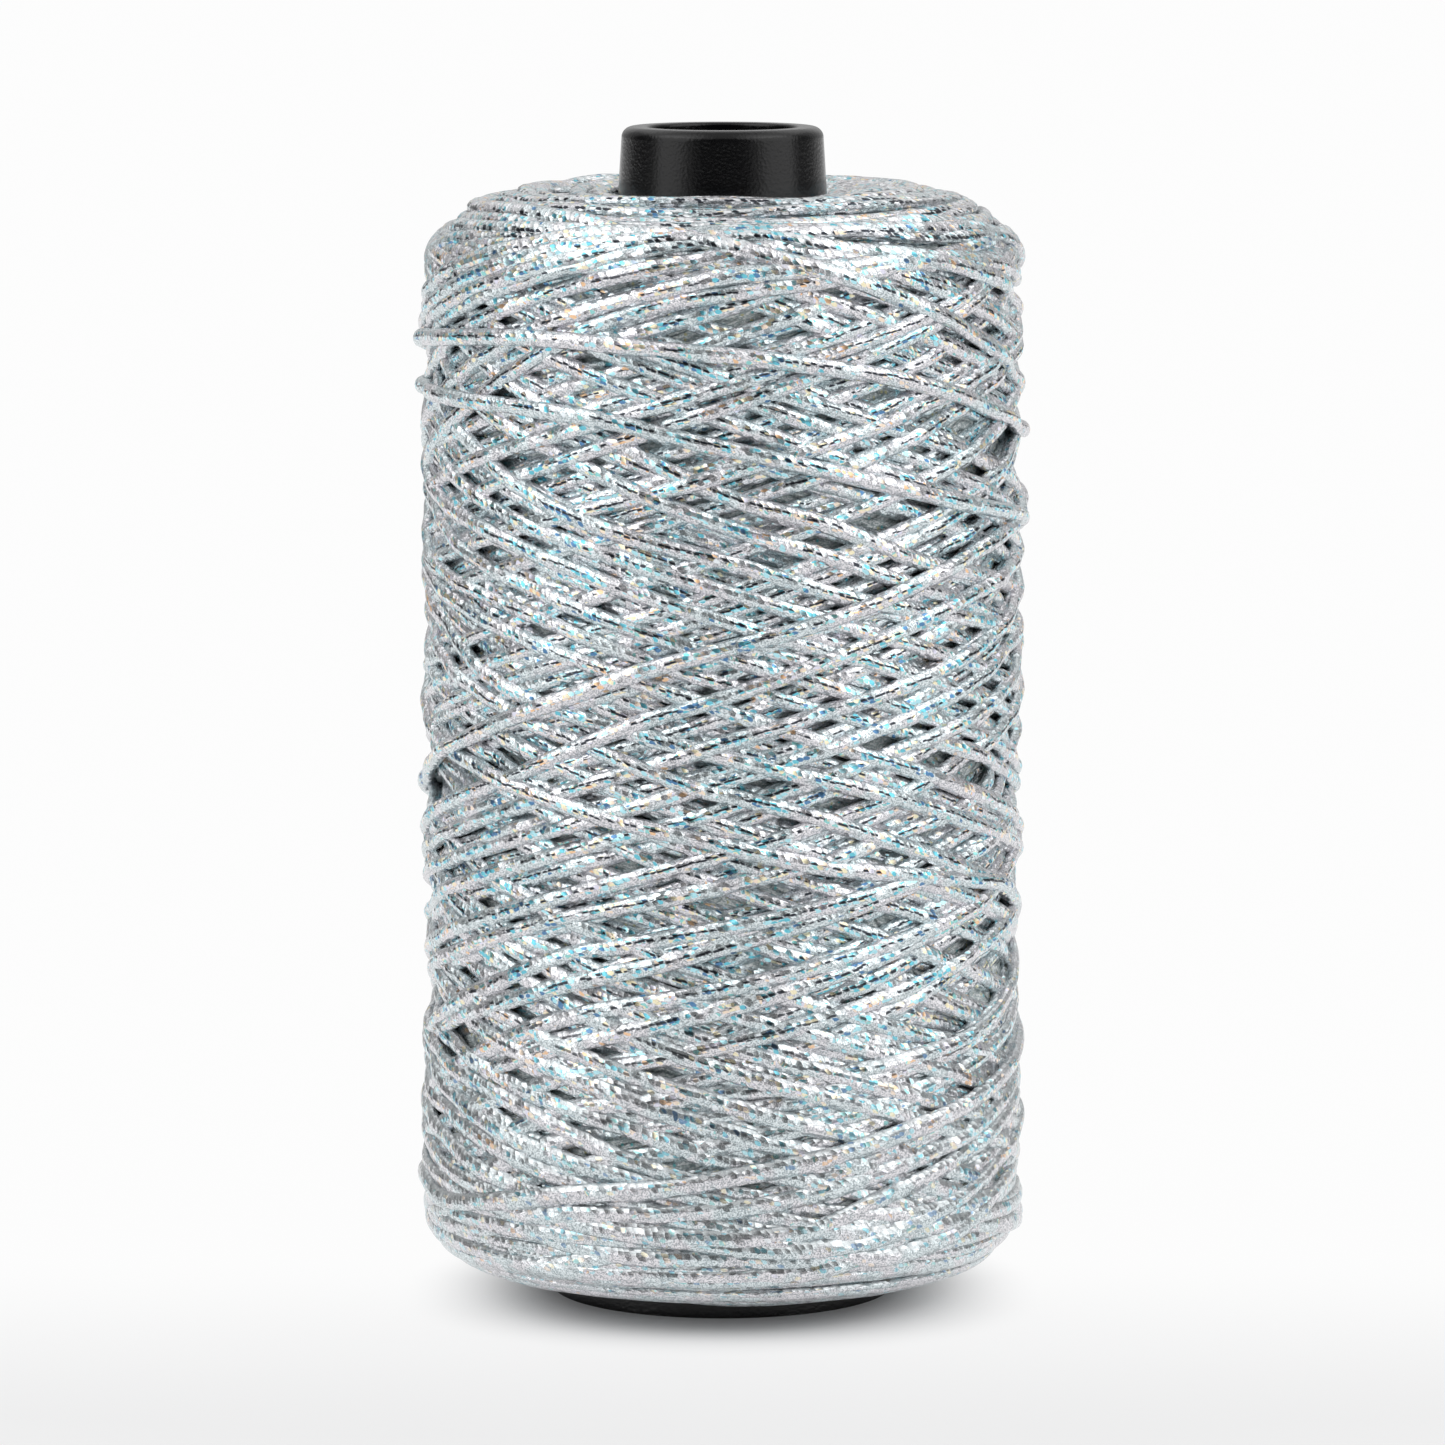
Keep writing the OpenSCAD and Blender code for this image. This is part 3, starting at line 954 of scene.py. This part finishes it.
# %% Painted glints
GLINT_STOPS = [
    (0.0, (0.05, 0.20, 0.42)), (0.16, (0.12, 0.58, 0.72)), (0.30, (0.46, 0.84, 0.93)),
    (0.46, (0.90, 0.96, 1.0)), (0.54, (0.30, 0.70, 0.68)), (0.60, (0.97, 0.88, 0.60)),
    (0.70, (0.98, 0.80, 0.64)), (0.80, (0.80, 0.78, 0.92)), (0.88, (0.95, 0.60, 0.34))]
PAINTED_HIGHLIGHT_WHITE = (0.96, 0.98, 1.0)
GLINTS_ANYWHERE = 0.05
GLINTS_ON_RIDGE = 0.16
GLINTS_IN_COLOUR = 0.80
GLINTS_ON_DOME = 0.1
GLINTS_AT_FOOT = 0.45
COLOURFUL_EDGE = (0.46, 0.58)
DRAWN = (0.0, 0.01)
HALF_DRAWN = (0.5, 0.52)
HUE_BY_STITCH = 0.6
HUE_BY_PATCH = 1.2
HUE_SHIFT = 0.4
# Painted glints: the thread's colours, painted on the ridge where the light catches it.
hue = third_chance * HUE_BY_STITCH + patch * HUE_BY_PATCH - HUE_SHIFT
glints = cord.add("ValToRGB", {"stops": GLINT_STOPS}, {0: hue})
glints.socket.node.color_ramp.interpolation = "CONSTANT"
# Painted highlights: on the dome about half the glints are painted white.
glints = cord.mix(on_dome * cord.step(second_chance, *HALF_DRAWN), glints, PAINTED_HIGHLIGHT_WHITE)
in_colour = cord.step(patch_parts.out("Green"), *COLOURFUL_EDGE)
ridge_share = GLINTS_ON_RIDGE + GLINTS_IN_COLOUR * in_colour + GLINTS_ON_DOME * on_dome
glint_share = GLINTS_ANYWHERE + on_ridge * ridge_share * at_least(GLINTS_AT_FOOT, above_foot)
is_painted_glint = cord.step(glint_share - stitch_chance, *DRAWN) * bead
print("colours of the glints:", len(GLINT_STOPS))

# %% Dark stitches, painted reflections of the dark room
PAINTED_DARK_REFLECTION = (0.035, 0.040, 0.052)
DARK_FACING = (0.0, 0.05, 0.22, 0.28)
DARK_SECTION = (0.28, 0.31, 0.41, 0.44)
DARK_ANYWHERE = 0.12
DARK_IN_PATCH = 0.8
DARK_PATCH_EDGE = (0.47, 0.54)
DARK_DRAWN = (0.0, 0.02)
FEWER_ON_DOME = 0.3
DARK_AT_FOOT = 0.3
OFF_BEAD = 0.25
FACING_JITTER = 0.2
SECTION_JITTER = 0.06
# Painted reflection: the dark of the room, painted as dark stitches just above the ridge, and between the
# rows on the dome.
in_patch = cord.step(patch_parts.out("Blue"), *DARK_PATCH_EDGE)
dark_share = (DARK_ANYWHERE + DARK_IN_PATCH * in_patch) * (1 - FEWER_ON_DOME * on_dome)
is_painted_dark = cord.step(dark_share - second_chance, *DARK_DRAWN)
dark_by_facing = cord.band(facing_up + (third_chance - 0.5) * FACING_JITTER, *DARK_FACING)
dark_by_section = cord.band(section + (third_chance - 0.5) * SECTION_JITTER, *DARK_SECTION)
in_band = dark_by_facing * (1 - on_dome) + dark_by_section * on_dome
in_bead = 1 - at_least(1 - OFF_BEAD, on_dome) * (1 - bead)
is_painted_dark = is_painted_dark * in_band * at_least(DARK_AT_FOOT, above_foot) * in_bead
print("share of dark stitches in the band:", DARK_ANYWHERE, "to", DARK_ANYWHERE + DARK_IN_PATCH)

# %% The cord's colour, and the pieces that wear it
PAINTED_DEPTH_SHADE = (0.90, 0.97, 0.98)
DEPTH_EDGE = (1.0, 3.6)
GLINT_STRENGTH_AT_FOOT = 0.55
GLINT_STRENGTH = 0.9
depth = cord.add("Attribute", {"attribute_name": "depth"}, output=2)
strength = GLINT_STRENGTH_AT_FOOT + (GLINT_STRENGTH - GLINT_STRENGTH_AT_FOOT) * above_foot
# The painted glints, weaker near the foot, then the painted dark stitches, over the fibres' grey.
colour = cord.mix(is_painted_glint * strength, fibres, glints)
colour = cord.mix(is_painted_dark, colour, PAINTED_DARK_REFLECTION)
# Painted shade: the deeper a point lies under the tops of the pile, the darker its colour.
colour = cord.mix(cord.step(depth, *DEPTH_EDGE), colour, cord.tinted(colour, PAINTED_DEPTH_SHADE))
cord.skin(base_color=colour, metallic=0.78, roughness=0.22, normal=cord_normal)
for piece in cord_pieces:
    piece.data.materials.append(cord.owner)
    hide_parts("outer_turns")
print("nodes in the cord's finish:", len(cord.tree.nodes))

# %% [markdown]
# ## The finish of the older layers
#
# The bed has no strands of its own, so its finish draws them: rows in colour and in relief, along
# both ways of winding, with one way on top in some places and the other way elsewhere. The grooves
# between the rows get painted shade, and the grey-green of the whole bed, darker than the cord, is
# painted shade of the older layers. Streaks along the rows stand for the fibres, and a few stitches
# get painted glints. It is rough and not metallic, because the light that gets down there comes from
# the strands all round.

# %% Rows of the older layers
GROUND_ROW = 2.3
ROW_SLOPE = 0.29
ROW_BEND = 9.0
STREAKS_ALONG = 0.45
STREAKS_ACROSS = 4.6
STREAK_SLANT = 0.13
STREAK_LEAN = 1.29
SWAPS_A_MM = 0.11
SWAP_EDGE = (0.47, 0.53)
ground = new_finish("older_layers")
ground_place = ground.add("UVMap", {"uv_map": "cord"})
ground_round = ground.axes(ground_place)
ground_down = ground_round.out("Y")
slow = ground.noise(ground_place, SWAPS_A_MM, Detail=1.0)
bend = ground.channels(slow.out("Color")).out("Green") * ROW_BEND
streaks = []
strands = []
for way in (-1, 1):
    streak_along = ground_round * STREAKS_ALONG + ground_down * (STREAK_SLANT * way)
    streak_across = ground_down * STREAKS_ACROSS - ground_round * (STREAK_LEAN * way)
    streak_place = ground.add("CombineXYZ", None, {0: streak_along, 1: streak_across})
    streaks.append(ground.noise(streak_place, 1.0, Detail=2.5, Roughness=0.6))
    row_place = (ground_down - ground_round * (ROW_SLOPE * way) + bend) * (np.pi / GROUND_ROW)
    strands.append(ground.maths("ABSOLUTE", ground.maths("SINE", row_place)))
first_on_top = ground.step(slow, *SWAP_EDGE)
streak = streaks[0] * first_on_top + streaks[1] * (1 - first_on_top)
strand = strands[0] * first_on_top + strands[1] * (1 - first_on_top)

# %% Colour and relief of the older layers
GROUND = (0.43, 0.50, 0.51)
GROUND_LIGHT = (0.97, 1.0, 1.0)
PAINTED_GROOVE_COLOUR = (0.30, 0.34, 0.35)
GLINT_TEAL = (0.20, 0.62, 0.66)
GLINT_GOLD = (0.62, 0.60, 0.34)
GROUND_LIT_EDGE = (0.46, 0.62)
GROOVE_EDGE = (0.05, 0.6)
GROOVE_SHADE_SHARE = 0.75
GRAINS_A_MM = 5.0
GLINTS_A_MM = 1.4
GLINT_DRAWN = (0.13, 0.14)
GLINT_EDGE = (0.28, 0.34)
STREAK_RELIEF = 0.45
STRAND_RELIEF = 0.9
grain = ground.channels(ground.cells(ground_place, GRAINS_A_MM).out("Color"))
lit = ground.step(streak * 0.75 + grain * 0.25, *GROUND_LIT_EDGE)
# Painted shade: the darker grey-green between the light streaks stands for the shade of the older layers.
colour = ground.mix(lit, GROUND, GROUND_LIGHT)
# Painted shade in the grooves between the drawn rows.
painted_groove_shade = 1 - ground.step(strand, *GROOVE_EDGE)
colour = ground.mix(painted_groove_shade * GROOVE_SHADE_SHARE, colour, ground.tinted(colour, PAINTED_GROOVE_COLOUR))
# Painted glints: a few teal and gold spots on the bed.
glint = ground.cells(ground_place, GLINTS_A_MM)
glint_chance = ground.channels(glint.out("Color"))
is_painted_glint = (1 - ground.step(glint_chance, *GLINT_DRAWN)) * (1 - ground.step(glint, *GLINT_EDGE))
tint = ground.mix(ground.step(glint_chance.out("Green"), *HALF_DRAWN), GLINT_TEAL, GLINT_GOLD)
colour = ground.mix(is_painted_glint, colour, tint)
relief = streak * STREAK_RELIEF + strand * STRAND_RELIEF
ground.skin(base_color=colour, metallic=0.0, roughness=0.5, normal=ground.bump(relief))
bed.data.materials.append(ground.owner)
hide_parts("wound_body")
print("nodes in the finish of the older layers:", len(ground.tree.nodes))

# %% [markdown]
# ## The tube's finish
#
# The tube is black moulded plastic with the faint leathery skin of a worn mould, and a little dust.
# The construction model's tube has the right shape, so it stays and gets a better material.

# %% Black tube
GRAIN_A_METRE = 1800.0
DENTS_A_METRE = 2200.0
DUST_A_METRE = 60.0
DUST_EDGE = (0.45, 0.75)
SKIN_DEPTH = 0.00004
BLACK_PLASTIC = (0.003, 0.003, 0.0034)
DUSTY_PLASTIC = (0.008, 0.008, 0.0085)
plastic = new_finish("black_tube")
spot = plastic.add("TexCoord").out("Object")
grain = plastic.add("TexNoise", None,
                    {"Vector": spot, "Scale": GRAIN_A_METRE, "Detail": 3.0, "Roughness": 0.55})
dents = plastic.add("TexVoronoi", {"feature": "SMOOTH_F1"},
                    {"Vector": spot, "Scale": DENTS_A_METRE, "Smoothness": 0.5})
dust = plastic.add("TexNoise", None, {"Vector": spot, "Scale": DUST_A_METRE, "Detail": 4.0})
relief = grain * 0.5 + dents * 0.5
skin_normal = plastic.bump(relief, SKIN_DEPTH)
colour = plastic.mix(plastic.step(dust, *DUST_EDGE), BLACK_PLASTIC, DUSTY_PLASTIC)
plastic.skin(base_color=colour, roughness=0.2, specular_ior_level=0.3, normal=skin_normal)
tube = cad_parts["cone_tube"]
tube.data.materials.clear()
tube.data.materials.append(plastic.owner)
print("nodes in the tube's finish:", len(plastic.tree.nodes))

# %% [markdown]
# ## The floor
#
# The package stands on a pale floor. Its finish mixes matt paper, which takes the soft shadow of the
# package, with a white glow. Close to the foot there is almost only paper, so the contact is dark.
# Further out, and sooner behind the package than in front of it, the glow takes over, and the floor
# fades into the white of the room with no edge.

# %% Floor
FLOOR_RADIUS = 6.0
FLOOR_SIDES = 64
floor_angles = np.linspace(0, 2 * np.pi, FLOOR_SIDES + 1)[:-1]
floor_edge = [(FLOOR_RADIUS * np.cos(a), FLOOR_RADIUS * np.sin(a), 0) for a in floor_angles]
floor_mesh = bpy.data.meshes.new("floor")
floor_mesh.from_pydata(floor_edge, [], [list(range(FLOOR_SIDES))])
floor = bpy.data.objects.new("floor", floor_mesh)
bpy.context.scene.collection.objects.link(floor)

# %% Finish of the floor
WHITE = (0.985, 0.985, 0.985, 1)
PAPER = (0.62, 0.62, 0.625, 1)
CONTACT_EDGE = (0.028, 0.052)
CONTACT_BACK_EDGE = (-0.035, 0.0)
CONTACT_SHORTER = 0.005
AWAY_EDGE = (0.08, 0.4)
BACK_EDGE = (-0.11, 0.02)
LEAST_GLOW = 0.04
NEAR_GLOW = 0.52
FAR_GLOW = 0.42
pale = new_finish("pale_floor")
floor_place = pale.add("TexCoord").out("Object")
distance = pale.vector("LENGTH", floor_place, output="Value")
back = pale.axes(floor_place).out("Y")
away = pale.maths("MAXIMUM", pale.step(distance, *AWAY_EDGE), pale.step(back, *BACK_EDGE))
off_contact = pale.step(distance + CONTACT_SHORTER * pale.step(back, *CONTACT_BACK_EDGE), *CONTACT_EDGE)
glow_share = LEAST_GLOW + off_contact * (NEAR_GLOW + FAR_GLOW * away)
paper = pale.add("BsdfDiffuse", None, {"Color": PAPER})
glow = pale.add("Emission", None, {"Color": WHITE})
faded = pale.add("MixShader", None, {0: glow_share, 1: paper, 2: glow})
pale.add("OutputMaterial", None, {"Surface": faded})
floor_mesh.materials.append(pale.owner)
print("floor, m across:", 2 * FLOOR_RADIUS)

# %% [markdown]
# ## The room
#
# The cord mirrors the room, so the room is painted by direction in the world. It has a wide soft box
# overhead, weaker in the middle and at the back, a soft box at each side towards the front, and faint
# light from behind. It is dark behind the camera, which the cord mirrors and its painted dark stitches
# stand for, and past each side box, for the package's edges. The two tables give azimuths from the
# front, elevations, the inner and outer edges of the soft spots, all in degrees, and strengths. The
# camera itself sees plain white.

# %% Room
world = bpy.data.worlds.new("room")
bpy.context.scene.world = world
room = Finish(world)
looking = room.add("TexCoord").out("Generated")
sideways = room.axes(looking)


def soft_spot(azimuth, elevation, inner, outer):
    """1 inside a round soft spot in that direction, by the angles of its inner and outer edge."""
    a, e = np.radians([azimuth, elevation])
    towards = (np.sin(a) * np.cos(e), -np.cos(a) * np.cos(e), np.sin(e))
    nearness = room.vector("DOT_PRODUCT", looking, towards, output="Value")
    return room.step(nearness, np.cos(np.radians(outer)), np.cos(np.radians(inner)))


# %% Light and dark of the room
ROOM_LIGHT = 0.48
OVERHEAD_LIGHT = 2.1
OVERHEAD_EDGE = (0.5, 0.68)
OVERHEAD_BACK_EDGE = (-0.25, 0.25)
OFF_MIDDLE_EDGE = (0.1, 0.5)
MIDDLE_SHARE = 0.2
BACK_LOSS = 0.5
LIGHTS = {
    "left box": (-68, 22, 22, 34, 1.7),
    "right box": (68, 22, 22, 34, 1.7),
    "behind on the right": (142, 6, 18, 34, 0.12),
    "behind": (180, 32, 16, 40, 0.35)}
DARKS = {
    "behind the camera": (0, 8, 26, 36, 0.95),
    "past the left box": (-102, 6, 18, 28, 0.85),
    "past the right box": (108, 6, 12, 24, 0.6)}
overhead = room.step(sideways.out("Z"), *OVERHEAD_EDGE)
overhead = overhead * (1 - BACK_LOSS * room.step(sideways.out("Y"), *OVERHEAD_BACK_EDGE))
off_middle = room.step(room.maths("ABSOLUTE", sideways), *OFF_MIDDLE_EDGE)
light = ROOM_LIGHT + overhead * at_least(MIDDLE_SHARE, off_middle) * OVERHEAD_LIGHT
for *spot_angles, strength in LIGHTS.values():
    light = light + soft_spot(*spot_angles) * strength
for *spot_angles, strength in DARKS.values():
    light = light * (1 - soft_spot(*spot_angles) * strength)
rays = room.add("LightPath").out("Is Camera Ray")
lit_room = room.add("Background", None, {"Strength": light})
white_room = room.add("Background", None, {"Color": WHITE})
seen = room.add("MixShader", None, {0: rays, 1: lit_room, 2: white_room})
room.add("OutputWorld", None, {"Surface": seen})
print("lights and dark places of the room:", len(LIGHTS) + 1, len(DARKS))
